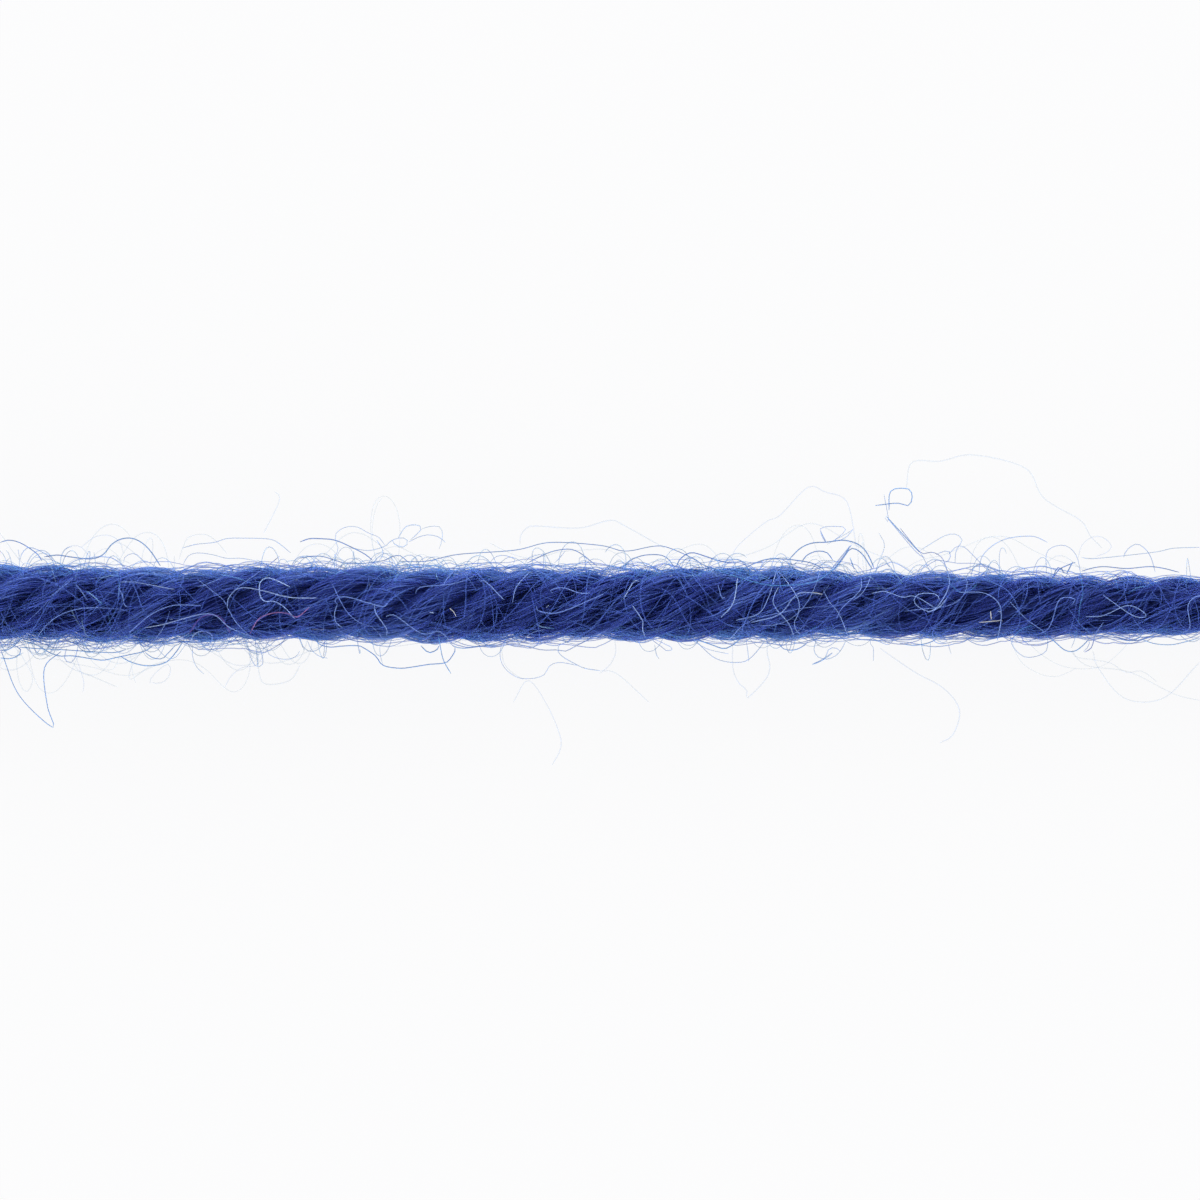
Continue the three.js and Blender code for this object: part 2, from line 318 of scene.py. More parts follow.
# These swing out from it through the air.
FLYING_STRAYS = [
    [(8.96, -0.44), (8.71, -0.54), (8.56, -0.81), (8.85, -1.1), (9.27, -1), (9.31, -0.69),
     (9.17, -0.54)],
    [(9.31, 0.65), (9.33, 1.11), (9.69, 1.23), (9.96, 0.96), (10.02, 0.29), (9.94, -0.06),
     (9.9, -0.69), (9.83, -0.91)],
    [(7.25, 0.44), (7.4, 0.29), (7.56, 0.25), (7.77, 0.36), (7.88, 0.56), (7.98, 1.02), (8.4, 1.34),
     (9, 1.42), (9.33, 1.29)],
    [(10.04, 0.98), (10.35, 0.96), (11.56, 1.09), (11.94, 1.17), (12.5, 1.19)],
    [(4.71, 1.31), (4.6, 1.59), (5.08, 1.61), (5.06, 1.48), (4.85, 1.31), (5.1, 1.38),
     (5.27, 1.56)],
    [(5.92, 2.29), (6.02, 1.73), (5.94, 1.81)],
    [(6, 1.79), (6.58, 1.11), (6.77, 0.98)],
    [(-10.86, -0.85), (-10.92, -1.1), (-11.03, -1.22), (-11.15, -1.13), (-11.11, -0.92)],
    [(-8.48, -0.85), (-8.48, -1.07), (-8.4, -1.29), (-8.24, -1.45)],
    [(-7.32, -1), (-7.17, -1.29), (-7.02, -1.23), (-7.07, -0.94), (-7.17, -0.78)],
    [(-6.94, -0.85), (-6.88, -1.04), (-6.6, -1.14), (-6.35, -1.1), (-6.25, -0.97)],
    [(-6.09, -0.76), (-6, -0.95), (-5.84, -1.08), (-5.67, -1.12)],
    [(-4.58, -0.84), (-4.58, -1.02), (-4.53, -1.24)],
    [(-2.05, -0.83), (-2.08, -1.05), (-2.02, -1.27), (-1.83, -1.46), (-1.58, -1.55), (-1.2, -1.49),
     (-1.04, -1.27), (-0.82, -1.21), (-0.48, -1.27)],
    [(-0.82, -0.81), (-0.88, -0.95), (-0.79, -1.08), (-0.57, -1.21), (-0.32, -1.33), (0, -1.38)],
    [(1.14, -0.84), (1.17, -1.03), (1.23, -1.14)],
    [(1.9, -0.65), (2.02, -0.78), (2.21, -0.97), (2.4, -1.12), (2.68, -1.2), (3, -1.19),
     (3.19, -1.06), (3.35, -0.87), (3.44, -0.75)],
    [(1.77, -0.65), (2.02, -0.81), (2.27, -0.94), (2.68, -1.03)],
    [(3.04, -0.71), (3.08, -0.97), (3.1, -1.19)],
    [(4.51, -0.75), (4.46, -0.94), (4.54, -1.09), (4.73, -1.14), (4.92, -1.06), (5.05, -0.9),
     (5.12, -0.75)],
    [(4.42, -1.25), (4.67, -1.14), (4.72, -1.02), (4.77, -0.92), (4.89, -0.9), (5, -0.97)],
    [(5.68, -0.65), (5.62, -0.79), (5.7, -0.9), (5.7, -1.19)],
    [(6.97, -0.7), (7.1, -0.79), (7.23, -0.79), (7.2, -0.71), (7.06, -0.71)],
    [(7.26, -0.82), (7.32, -1.04)],
    [(10.18, -0.7), (10.2, -0.85), (10.08, -0.99)],
    [(-12.04, 0.93), (-12.01, 1.06), (-11.9, 1.18), (-11.74, 1.15), (-11.52, 1.03), (-11.4, 0.9)],
    [(-9.92, 0.87), (-9.88, 1), (-9.69, 1.06), (-9.54, 0.94), (-9.41, 0.8)],
    [(-8.7, 1.17), (-8.4, 1.25), (-8.02, 1.29), (-7.77, 1.37), (-7.39, 1.38), (-6.88, 1.36),
     (-6.67, 1.26), (-6.44, 1.07)],
    [(-8.67, 0.84), (-8.58, 1), (-8.4, 1.07), (-8.08, 1.04), (-7.77, 0.96), (-7.46, 0.96),
     (-7.13, 0.9)],
    [(-5.52, 1), (-5.45, 1.15), (-5.51, 1.34), (-5.49, 1.49), (-5.3, 1.61), (-5.05, 1.61),
     (-4.83, 1.49), (-4.61, 1.4), (-4.48, 1.23)],
    [(-5.21, 1.18), (-4.92, 1.13), (-4.74, 1.13), (-4.48, 1.21), (-4.35, 1.32), (-4.2, 1.38),
     (-4.04, 1.37), (-4, 1.27), (-4.1, 1.19), (-4.26, 1.24), (-4.33, 1.34)],
    [(-3.98, 1.3), (-3.79, 1.4), (-3.57, 1.45), (-3.35, 1.4), (-3.22, 1.29)],
    [(-4.2, 1.38), (-4.04, 1.62), (-3.79, 1.65), (-3.73, 1.56), (-3.95, 1.34)],
    [(-3.73, 1.56), (-3.57, 1.62), (-3.35, 1.62), (-3.28, 1.49), (-3.3, 1.3), (-3.35, 1.15)],
    [(-4.65, 1.34), (-4.53, 1.15), (-4.52, 1.02), (-4.61, 0.9)],
    [(-2.3, 0.86), (-2.18, 0.99), (-1.99, 1.02), (-1.77, 0.94), (-1.8, 0.85)],
    [(-1.55, 0.8), (-1.52, 0.94), (-1.33, 1.02), (-1.17, 1.05)],
    [(-0.95, 0.86), (-0.83, 0.98), (-0.73, 1.11)],
    [(-0.44, 0.86), (-0.42, 0.99), (-0.29, 0.99), (-0.31, 0.86)],
    [(4.73, 1.25), (4.92, 1.36), (5.11, 1.46), (5.27, 1.56)],
    [(5.81, 1.49), (5.93, 1.27), (5.9, 1.08), (5.81, 0.92)],
    [(6.66, 1.11), (6.79, 0.88), (6.88, 0.67)],
    [(6.66, 1.12), (6.88, 1.26), (7.2, 1.44), (7.42, 1.46), (7.54, 1.36), (7.51, 1.26),
     (7.42, 1.11), (7.4, 0.86)],
    [(7, 1.04), (7.17, 1.11), (7.29, 1.09), (7.29, 0.94), (7.17, 0.86)],
    [(7.26, 1.04), (7.42, 1.2), (7.58, 1.2), (7.76, 1.04), (7.92, 0.88), (8.04, 0.75),
     (8.21, 0.69)],
    [(10.92, 0.98), (10.98, 1.13), (11.18, 1.26), (11.36, 1.17), (11.49, 0.98), (11.58, 0.67)],
]

# So do these, which are thicker and show best.
BOLD_STRAYS = [
    [(-12.46, -0.96), (-12.08, -1.89), (-11.38, -2.56), (-11.5, -2.1), (-11.56, -1.33),
     (-11.21, -0.98)],
    [(5.73, 2.06), (6.19, 2.11), (6.42, 2.06), (6.5, 2.23), (6.42, 2.4), (6.06, 2.36),
     (6.02, 1.96)],
    [(5.96, 1.84), (6.29, 1.48), (6.65, 1.09)],
    [(-3.35, -0.64), (-3.27, -1.12), (-3.1, -1.44)],
    [(-4.17, 0.9), (-3.62, 0.9), (-2.96, 1.04), (-1.77, 1.13), (-1.04, 1.29), (0, 1.23),
     (0.52, 1.11), (1.1, 1.21), (1.4, 1.19), (1.94, 0.96), (2.23, 0.79), (3.29, 0.44), (3.92, 0.4),
     (4.52, 0.5), (5, 0.86)],
]

# A few fibres keep together as one thick, pale strand.
THICK_STRAYS = [
    [(4.85, 0.77), (5.05, 1.02), (5.24, 1.24)],
    [(4.9, 0.75), (5.06, 0.96), (5.16, 1.14), (5.2, 1.22)],
    [(4.6, 1.52), (4.65, 1.4), (4.71, 1.29)],
    [(4.42, -1.25), (4.58, -1.18), (4.74, -1.08), (4.84, -1.01)],
]

# These are the finest and stand furthest off.
FAINT_STRAYS = [
    [(-6.98, 1.48), (-6.67, 2.17), (-6.77, 2.34)],
    [(-1.67, 1.23), (-1.65, 1.44), (-1.5, 1.61), (-1.25, 1.63), (-0.42, 1.59), (0.21, 1.75),
     (0.52, 1.63), (1.35, 1.17)],
    [(-2.06, -0.79), (-1.98, -1.25), (-1.67, -1.52), (-1.52, -1.54)],
    [(0, -1.38), (0.35, -1.44), (1.02, -2.04)],
    [(-1.81, -2.04), (-1.5, -1.58), (-1.12, -2.06), (-0.83, -2.73), (-0.83, -3.04), (-1, -3.35)],
    [(-9.38, -1.66), (-9.33, -1.5), (-9.04, -1.25), (-8.94, -1.33), (-9, -1.54), (-9.17, -1.64),
     (-9.33, -1.62)],
    [(-7.81, -1.73), (-7.67, -1.48), (-7.44, -1.31), (-7.17, -1.27), (-7.02, -1.06),
     (-7.02, -0.85)],
    [(-7.17, -0.75), (-7.1, -1.41), (-6.96, -1.66), (-6.46, -1.58), (-6.25, -1.27)],
    [(2.77, -0.81), (2.77, -1.31), (2.88, -1.62), (3.06, -1.79), (3.06, -1.96), (3.44, -1.58),
     (3.54, -1.31), (3.48, -1), (3.5, -0.75)],
    [(6.38, 2.42), (6.5, 2.96), (7.08, 2.98), (7.75, 3.11), (8.85, 2.84), (9.23, 2.21), (10, 1.75),
     (10.21, 1.44), (10.48, 1.17)],
    [(2.71, 0.92), (2.88, 1.23), (3.44, 1.71), (3.75, 1.86), (4.33, 2.44), (4.69, 2.34),
     (5.06, 2.23), (5.21, 1.96), (5.35, 1.17)],
    [(9.85, -0.96), (9.94, -1.12), (10.21, -1.29), (11.04, -1.41), (11.98, -1.87), (12.5, -2)],
    [(10.25, -0.96), (10.38, -1.33), (10.94, -1.96), (11.77, -1.94), (12.5, -1.21)],
    [(9.96, 0.96), (10.04, 1.23), (10.25, 1.4), (10.48, 1.4), (10.67, 1.23), (10.58, 1.09),
     (10.35, 1)],
    [(5.83, -0.91), (6.56, -1.41), (7.08, -1.69), (7.4, -2), (7.5, -2.31), (7.35, -2.73),
     (7.08, -2.89)],
    [(-10.94, -0.96), (-10.75, -1.58), (-10.77, -1.83)],
    [(-10.99, -1.1), (-10.92, -1.29), (-10.73, -1.45), (-10.48, -1.46), (-10.29, -1.32),
     (-10.17, -1.14)],
    [(-11.24, 0.94), (-11.15, 1.14), (-10.96, 1.23), (-10.77, 1.17), (-10.6, 0.94)],
    [(-10.8, 1.19), (-10.54, 1.4), (-10.23, 1.44), (-10.01, 1.31), (-9.92, 1.06)],
    [(-8.75, 0.93), (-8.67, 1.19), (-8.56, 1.4), (-8.24, 1.46), (-8.02, 1.34), (-7.77, 1.06)],
    [(0.31, -0.71), (0.33, -1), (0.22, -1.25), (0, -1.44)],
    [(9.83, -0.98), (9.94, -1.1), (10.35, -1.16), (10.67, -1.23), (10.98, -1.42), (11.3, -1.39),
     (11.62, -1.61)],
]

# A few fibres of another wool: one of a pink dye, and undyed bits as pale as straw.
PINK_STRAYS = [
    [(-7.25, -0.6), (-7.06, -0.31), (-6.77, -0.18), (-6.46, -0.18), (-6.25, -0.26), (-6, -0.06)],
]
DIM_PINK_STRAYS = [
    [(-8.5, -0.6), (-8.27, -0.29), (-8.02, -0.21), (-7.81, -0.29), (-7.65, -0.6)],
]
STRAW_BITS = [
    [(7.85, -0.37), (8.33, -0.33)],
    [(8.08, -0.14), (8.1, -0.31)],
    [(-3.1, -0.08), (-3.02, -0.15), (-2.97, -0.25)],
    [(4.39, 0.25), (4.6, 0.21)],
]

# A traced fibre spans this much of a groove without dipping in.
STRAY_BRIDGE = 0.7
SWAY_REACH = 0.8
SPAN_POINTS = 12
TRACE_COLUMNS = ("name", "wool", "strays", "step", "lift", "sway", "radius", "dark", "light")
TRACES = [
    ("lying_strays", "stray", LYING_STRAYS, 0.08, 0.12, 0.03, 0.0103, 0.1, 0.75),
    ("edge_strays", "edge", EDGE_STRAYS, 0.09, 0.03, 0.06, 0.0138, 0.0, 1.0),
    ("bold_strays", "edge", BOLD_STRAYS, 0.10, 0.13, 0.04, 0.0130, 0.3, 1.0),
    ("thick_strays", "halo", THICK_STRAYS, 0.08, 0.05, 0.03, 0.0220, 0.0, 0.3),
    ("flying_strays", "halo", FLYING_STRAYS, 0.10, 0.03, 0.12, 0.0105, 0.0, 0.6),
    ("faint_strays", "faint", FAINT_STRAYS, 0.10, 0.03, 0.15, 0.0150, 0.0, 1.0),
    ("pink_strays", "pink", PINK_STRAYS, 0.08, 0.13, 0.01, 0.0110, 0.7, 0.9),
    ("dim_pink_strays", "pink", DIM_PINK_STRAYS, 0.08, 0.09, 0.01, 0.0100, 0.0, 0.1),
    ("straw_bits", "straw", STRAW_BITS, 0.08, 0.13, 0.00, 0.0130, 0.7, 1.0),
]

# The brush of fibre tips at the cut ends. start is how far in they begin, stop how far they reach
# past the end, splay how much they spread, fill how much of a ply's radius they fill and spin how
# fast they turn, in radians per millimetre.
BRUSH = {"count": 900, "steps": 5, "radius": 0.0125, "dark": 0.0, "light": 0.9, "start": (0.5, 0.9),
         "stop": (-0.15, 0.22), "splay": (-0.05, 0.16), "fill": 0.95, "spin": -0.3}

# The wools' colours, as red, green and blue at places between the darkest tint and the palest
# Painted shade: the packed wool is a darker blue, for the shade inside the strand.
PACKED_COLOURS = [(0.35, (0.032, 0.054, 0.260)), (0.68, (0.070, 0.120, 0.480))]
PLY_COLOURS = [(0.0, (0.028, 0.050, 0.300)), (0.3, (0.056, 0.098, 0.500)),
               (0.65, (0.140, 0.240, 0.780)), (1.0, (0.290, 0.495, 0.940))]
SHEATH_COLOURS = [(0.0, (0.066, 0.118, 0.520)), (0.35, (0.125, 0.240, 0.760)),
                  (0.75, (0.190, 0.430, 0.900)), (1.0, (0.230, 0.530, 0.930))]
# Painted light: the edge and halo wools are paler, more sky-blue copies of the same blue, for the
# table's light that shines through the fine fibres at the strand's edges.
EDGE_COLOURS = [(0.0, (0.100, 0.360, 0.880)), (1.0, (0.210, 0.510, 0.940))]
STRAY_COLOURS = [(0.0, (0.180, 0.300, 0.820)), (0.6, (0.340, 0.500, 0.950)),
                 (1.0, (0.600, 0.750, 1.000))]
HALO_COLOURS = [(0.0, (0.120, 0.380, 0.910)), (0.35, (0.200, 0.480, 0.930)),
                (1.0, (0.380, 0.580, 0.800))]
PINK_COLOURS = [(0.0, (0.190, 0.120, 0.480)), (1.0, (0.560, 0.270, 0.520))]
STRAW_COLOURS = [(0.0, (0.420, 0.480, 0.600)), (1.0, (0.800, 0.780, 0.740))]

# The table's half width in metres and its own glow
TABLE_HALF = 0.6
TABLE_GLOW = 0.905
# The sky's strength near the horizon and overhead, with the heights (as sines) between which it
# changes, and how much more comes from the far side
SKY_STRENGTHS = (3.9, 0.285)
SKY_HEIGHTS = (0.15, 0.55)
SKY_LEAN = 0.25


def rows(columns, table):
    """The rows of a table as dictionaries, one value to each column."""
    return [dict(zip(columns, row)) for row in table]


def between(before, here, there, after, t):
    """A smooth curve from here to there, which is bent by the points before and after."""
    leaving = (there - before) / 2
    arriving = (after - here) / 2
    gain = there - here
    bend = 3 * gain - 2 * leaving - arriving
    ease = leaving + arriving - 2 * gain
    return here + t * (leaving + t * (bend + t * ease))


def along(x, column):
    """A column of the stations at any place, on a smooth curve through its values."""
    values = STATIONS[:, STATION_COLUMNS.index(column)]
    last = len(values) - 1
    spacing = STATIONS[1, 0] - STATIONS[0, 0]
    place = np.clip((np.asarray(x, float) - STATIONS[0, 0]) / spacing, 0, last)
    row = np.minimum(np.floor(place).astype(int), last - 1)
    before, after = values[np.maximum(row - 1, 0)], values[np.minimum(row + 2, last)]
    return between(before, values[row], values[row + 1], after, place - row)


def lobe(angle):
    """How far out the plies reach at an angle from a crest, as a share of the crest's distance."""
    across = PLY_CENTRE_OUT * np.sin(angle)
    out = PLY_CENTRE_OUT * np.cos(angle)
    return (out + np.sqrt(1 - across * across)) / (1 + PLY_CENTRE_OUT)


def twist(x):
    """How far the plies have turned at a place, in radians."""
    return 2 * math.pi * along(x, "turns")


def twist_rate(x, nearby=0.05):
    """How fast they turn there, in radians per millimetre."""
    return (twist(x + nearby) - twist(x - nearby)) / (2 * nearby)


def outline(x, angle):
    """The strand's radius at a place and an angle from straight up."""
    from_crest = np.mod(angle - twist(x), PLY_ANGLE) - PLY_ANGLE / 2
    return along(x, "radius") * lobe(from_crest)


def strand_middle():
    """The middle of the strand's box across Y, which the part's origin takes as zero."""
    x, angle = np.meshgrid(np.linspace(-HALF, HALF, 181), np.linspace(0, 2 * math.pi, 97))
    y = along(x, "y") + outline(x, angle) * np.sin(angle)
    return (y.min() + y.max()) / 2


MIDDLE_Y = strand_middle()


def axis_y(x):
    """How far the strand's axis lies to the side."""
    return along(x, "y") - MIDDLE_Y


def axis_z(x):
    """How high the strand's axis lies."""
    return AXIS_HEIGHT_SHARE * along(x, "radius")


def ply_radius(x):
    """The radius of one ply."""
    return along(x, "radius") / (1 + PLY_CENTRE_OUT)


def on_strand(x, angle, out):
    """Points at a place, an angle from straight up and a distance from the axis."""
    y = axis_y(x) + out * np.sin(angle)
    z = axis_z(x) + out * np.cos(angle)
    return np.stack([np.broadcast_to(x, y.shape), y, z], -1)


def on_ply(x, ply_angle, angle, out):
    """Points at a distance from the middle of the ply that lies at its own angle from the axis."""
    centre_out = PLY_CENTRE_OUT * ply_radius(x)
    y = axis_y(x) + centre_out * np.sin(ply_angle) + out * np.sin(angle)
    z = axis_z(x) + centre_out * np.cos(ply_angle) + out * np.cos(angle)
    return np.stack([x, y, z], -1)


def painted_side_light(angle):
    """The painted light that makes the wool's tint paler at an angle from straight up."""
    return PAINTED_SIDE_LIGHT * np.abs(np.sin(angle)) ** PAINTED_SIDE_LIGHT_POWER


def above_floor(points, gap=FLOOR_GAP + FIBRE_RADIUS):
    """Lifts what would sink into the surface, so that the strand's underside lies flat on it."""
    z = points[..., 2] - gap
    points[..., 2] = gap + (z + np.sqrt(z * z + FLOOR_SOFTNESS * FLOOR_SOFTNESS)) / 2
    return points


def smooth_noise(rng, count, steps, step, reach, size):
    """Rows of random values that drift smoothly: they forget themselves over the reach."""
    keep = math.exp(-step / reach)
    kick = math.sqrt(1 - keep * keep) * size
    values = np.empty((count, steps))
    value = rng.normal(0, size, count)
    slow = rng.normal(0, size, count)
    for index in range(steps):
        slow = keep * slow + kick * rng.normal(0, 1, count)
        value = keep * value + (1 - keep) * slow
        values[:, index] = value
    return values


def unit(vectors):
    """The same directions with a length of 1."""
    return vectors / np.maximum(np.linalg.norm(vectors, axis=-1, keepdims=True), 1e-12)


def tube(paths, radii):
    """Corners of three-sided tubes along the paths, an array of fibres by steps by three.

    Each tube is turned another way, so that no side of the strand catches more light."""
    tangents = unit(np.gradient(paths, axis=1))
    helper = np.where(np.abs(tangents[:, 0, 2:3]) < 0.8, [[0.0, 0, 1]], [[0.0, 1, 0]])
    normal = unit(np.cross(tangents[:, 0], helper))
    roll = (GOLDEN_ANGLE * np.arange(len(paths)))[:, None]
    normal = np.cos(roll) * normal + np.sin(roll) * np.cross(tangents[:, 0], normal)
    normals = np.empty_like(paths)
    for index in range(paths.shape[1]):
        ahead = tangents[:, index]
        normal = unit(normal - (normal * ahead).sum(-1, keepdims=True) * ahead)
        normals[:, index] = normal
    sideways = np.cross(tangents, normals)
    corners = []
    for side in range(3):
        turn = 2 * math.pi * side / 3
        offset = math.cos(turn) * normals + math.sin(turn) * sideways
        corners.append(paths + radii[..., None] * offset)
    return np.stack(corners, 2)


def tube_faces(fibres, steps):
    """Quads of the tubes' sides and triangles of their ends, as corner numbers."""
    start = np.arange(fibres)[:, None, None] * steps * 3
    ring = np.arange(steps - 1)[None, :, None] * 3
    side = np.arange(3)[None, None, :]
    following = (side + 1) % 3
    base = start + ring
    quads = np.stack([base + side, base + following, base + following + 3, base + side + 3], -1)
    first = start[:, 0, :] + np.array([[0, 2, 1]])
    last = start[:, 0, :] + (steps - 1) * 3 + np.array([[0, 1, 2]])
    return quads.reshape(-1, 4), np.concatenate([first, last])


def write_mesh(name, points, polygons, attributes=()):
    """A mesh object from points in millimetres and arrays of polygons with as many corners each."""
    mesh = bpy.data.meshes.new(name)
    mesh.vertices.add(len(points))
    mesh.vertices.foreach_set("co", (points * MM).astype(np.float32).ravel())
    corners = np.concatenate([p.ravel() for p in polygons])
    sizes = np.concatenate([np.full(len(p), p.shape[1]) for p in polygons])
    mesh.loops.add(len(corners))
    mesh.loops.foreach_set("vertex_index", corners.astype(np.int32))
    mesh.polygons.add(len(sizes))
    starts = np.concatenate([[0], np.cumsum(sizes)[:-1]])
    mesh.polygons.foreach_set("loop_start", starts.astype(np.int32))
    mesh.polygons.foreach_set("use_smooth", np.ones(len(sizes), bool))
    for label, kind, values in attributes:
        attribute = mesh.attributes.new(label, kind, "POINT")
        field = "vector" if kind == "FLOAT_VECTOR" else "value"
        attribute.data.foreach_set(field, np.ascontiguousarray(values, np.float32).ravel())
    mesh.update(calc_edges=True)
    mesh.validate()
    piece = bpy.data.objects.new(name, mesh)
    bpy.context.collection.objects.link(piece)
    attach(piece, BODY)
    return piece


def write_fibres(name, bundles, material):
    """One joined piece from bundles of (paths, radii, tints). Tints are for fibres or for steps."""
    points, quads, ends, tints = [], [], [], []
    count = 0
    for paths, radii, tint in bundles:
        fibres, steps, _ = paths.shape
        taper = np.ones(steps)
        taper[[0, -1]] = TIP_SHARE
        corners = tube(above_floor(paths), radii[:, None] * taper).reshape(-1, 3)
        sides, caps = tube_faces(fibres, steps)
        points.append(corners)
        quads.append(sides + count)
        ends.append(caps + count)
        tints.append(np.broadcast_to(tint.reshape(fibres, -1, 1), (fibres, steps, 3)).ravel())
        count += len(corners)
    # The tint holds each fibre's own tone with the painted shade and painted light added to it.
    attributes = [("tint", "FLOAT", np.concatenate(tints))]
    polygons = [np.concatenate(quads), np.concatenate(ends)]
    piece = write_mesh(name, np.concatenate(points), polygons, attributes)
    piece.data.materials.append(material)
    return piece


def blank_material(name):
    """A material with an empty node tree, and its nodes and links."""
    material = bpy.data.materials.new(name)
    material.use_nodes = True
    material.node_tree.nodes.clear()
    return material, material.node_tree.nodes, material.node_tree.links


def add_node(nodes, kind, settings):
    """A node with constants on its own sockets."""
    node = nodes.new(kind)
    for socket, value in settings.items():
        node.inputs[socket].default_value = value
    return node


def add_ramp(nodes, colours):
    """A colour ramp through the places and colours."""
    ramp = nodes.new("ShaderNodeValToRGB")
    stops = ramp.color_ramp.elements
    while len(stops) < len(colours):
        stops.new(0.5)
    for stop, (place, colour) in zip(stops, colours):
        stop.position = place
        stop.color = (*colour, 1)
    return ramp


def join(links, *pairs):
    """Links each node's output to another node's input."""
    for source, output, target, entry in pairs:
        links.new(source.outputs[output], target.inputs[entry])


def show(nodes, links, shader, socket="BSDF"):
    """Makes a shader the material's surface."""
    join(links, (shader, socket, nodes.new("ShaderNodeOutputMaterial"), "Surface"))


def wool(name, colours, solidity, roughness=0.5, translucence=0.0, patchiness=0.18):
    """Dyed wool: a colour for each fibre's tint, which also carries painted shade and painted
    light, uneven dye, and light that passes the fibre.
    """
    material, nodes, links = blank_material(name)
    tint = nodes.new("ShaderNodeAttribute")
    tint.attribute_name = "tint"
    ramp = add_ramp(nodes, colours)
    place = nodes.new("ShaderNodeTexCoord")
    patches = add_node(nodes, "ShaderNodeTexNoise", {"Scale": 600, "Detail": 3})
    shift = add_node(nodes, "ShaderNodeMapRange", {
        "From Min": 0.3, "From Max": 0.7, "To Min": -patchiness, "To Max": patchiness})
    blend = nodes.new("ShaderNodeMath")
    blend.operation = "ADD"
    surface = add_node(nodes, "ShaderNodeBsdfPrincipled", {
        "Roughness": roughness, "Specular IOR Level": 0.15, "Alpha": solidity})
    join(links,
         (place, "Object", patches, "Vector"),
         (patches, "Fac", shift, "Value"),
         (tint, "Fac", blend, 0),
         (shift, "Result", blend, 1),
         (blend, "Value", ramp, "Fac"),
         (ramp, "Color", surface, "Base Color"))
    if not translucence:
        show(nodes, links, surface)
        return material
    through_fibre = nodes.new("ShaderNodeBsdfTranslucent")
    mix = add_node(nodes, "ShaderNodeMixShader", {"Fac": translucence})
    join(links,
         (ramp, "Color", through_fibre, "Color"),
         (surface, "BSDF", mix, 1),
         (through_fibre, "BSDF", mix, 2))
    show(nodes, links, mix, "Shader")
    return material


def packed_wool():
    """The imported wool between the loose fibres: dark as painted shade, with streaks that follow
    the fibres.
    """
    material, nodes, links = blank_material("packed_wool")
    lay = nodes.new("ShaderNodeAttribute")
    lay.attribute_name = "fibre_lay"
    streaks = add_node(nodes, "ShaderNodeTexNoise", {"Scale": 1.0, "Detail": 4, "Roughness": 0.65})
    ramp = add_ramp(nodes, PACKED_COLOURS)
    bump = add_node(nodes, "ShaderNodeBump", {"Strength": 0.8, "Distance": 0.00003})
    surface = add_node(nodes, "ShaderNodeBsdfPrincipled", {
        "Roughness": 0.85, "Specular IOR Level": 0.25, "Sheen Weight": 0.2,
        "Sheen Tint": (0.45, 0.62, 1.0, 1)})
    join(links,
         (lay, "Vector", streaks, "Vector"),
         (streaks, "Fac", ramp, "Fac"),
         (streaks, "Fac", bump, "Height"),
         (ramp, "Color", surface, "Base Color"),
         (bump, "Normal", surface, "Normal"))
    show(nodes, links, surface)
    return material


def add_camera():
    """A long lens looking straight down, with the strand running left to right."""
    data = bpy.data.cameras.new("camera")
    data.lens = LENS
    data.sensor_width = SENSOR
    data.clip_start = 0.001
    data.clip_end = 10
    camera = bpy.data.objects.new("camera", data)
    distance = VIEW_WIDTH * LENS / SENSOR
    camera.location = (0, VIEW_MIDDLE_Y * MM, (VIEW_HEIGHT_Z + distance) * MM)
    bpy.context.collection.objects.link(camera)
    bpy.context.scene.camera = camera


def add_core(material):
    """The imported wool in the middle, which carries the strand's length and twist."""
    rings = int(round(2 * (HALF - END_ROUNDING) / CORE_STEP))
    inner = np.linspace(-HALF + END_ROUNDING, HALF - END_ROUNDING, rings + 1)
    tip = END_ROUNDING * np.array(CORE_TIP_RINGS)
    x = np.concatenate([-HALF + tip, inner, (HALF - tip)[::-1]])
    from_end = np.minimum(HALF - np.abs(x), END_ROUNDING) / END_ROUNDING
    share = CORE_SHARE * np.sqrt(from_end * (2 - from_end))
    round_it = 2 * math.pi * np.arange(CORE_SIDES) / CORE_SIDES
    grid_x, turn = np.meshgrid(x, round_it, indexing="ij")
    angle = turn + twist(grid_x)
    out = share[:, None] * outline(grid_x, angle)
    points = above_floor(on_strand(grid_x, angle, out), gap=FLOOR_GAP).reshape(-1, 3)
    here = np.arange(len(x) - 1)[:, None] * CORE_SIDES
    side = np.arange(CORE_SIDES)[None, :]
    following = (side + 1) % CORE_SIDES
    quads = np.stack([here + side, here + side + CORE_SIDES,
                      here + following + CORE_SIDES, here + following], -1).reshape(-1, 4)
    first = np.arange(CORE_SIDES)[None, :]
    last = ((len(x) - 1) * CORE_SIDES + np.arange(CORE_SIDES))[None, ::-1]
    lay_angle = angle - CORE_FIBRE_RATE * grid_x
    lay = np.stack([grid_x / CORE_STREAK_LENGTH,
                    out * np.sin(lay_angle) / CORE_STREAK_WIDTH,
                    out * np.cos(lay_angle) / CORE_STREAK_WIDTH], -1).reshape(-1, 3)
    attributes = [("fibre_lay", "FLOAT_VECTOR", lay)]
    piece = write_mesh("packed_wool", points, [quads, first, last], attributes)
    piece.data.materials.append(material)
    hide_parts(NODE)
    return piece


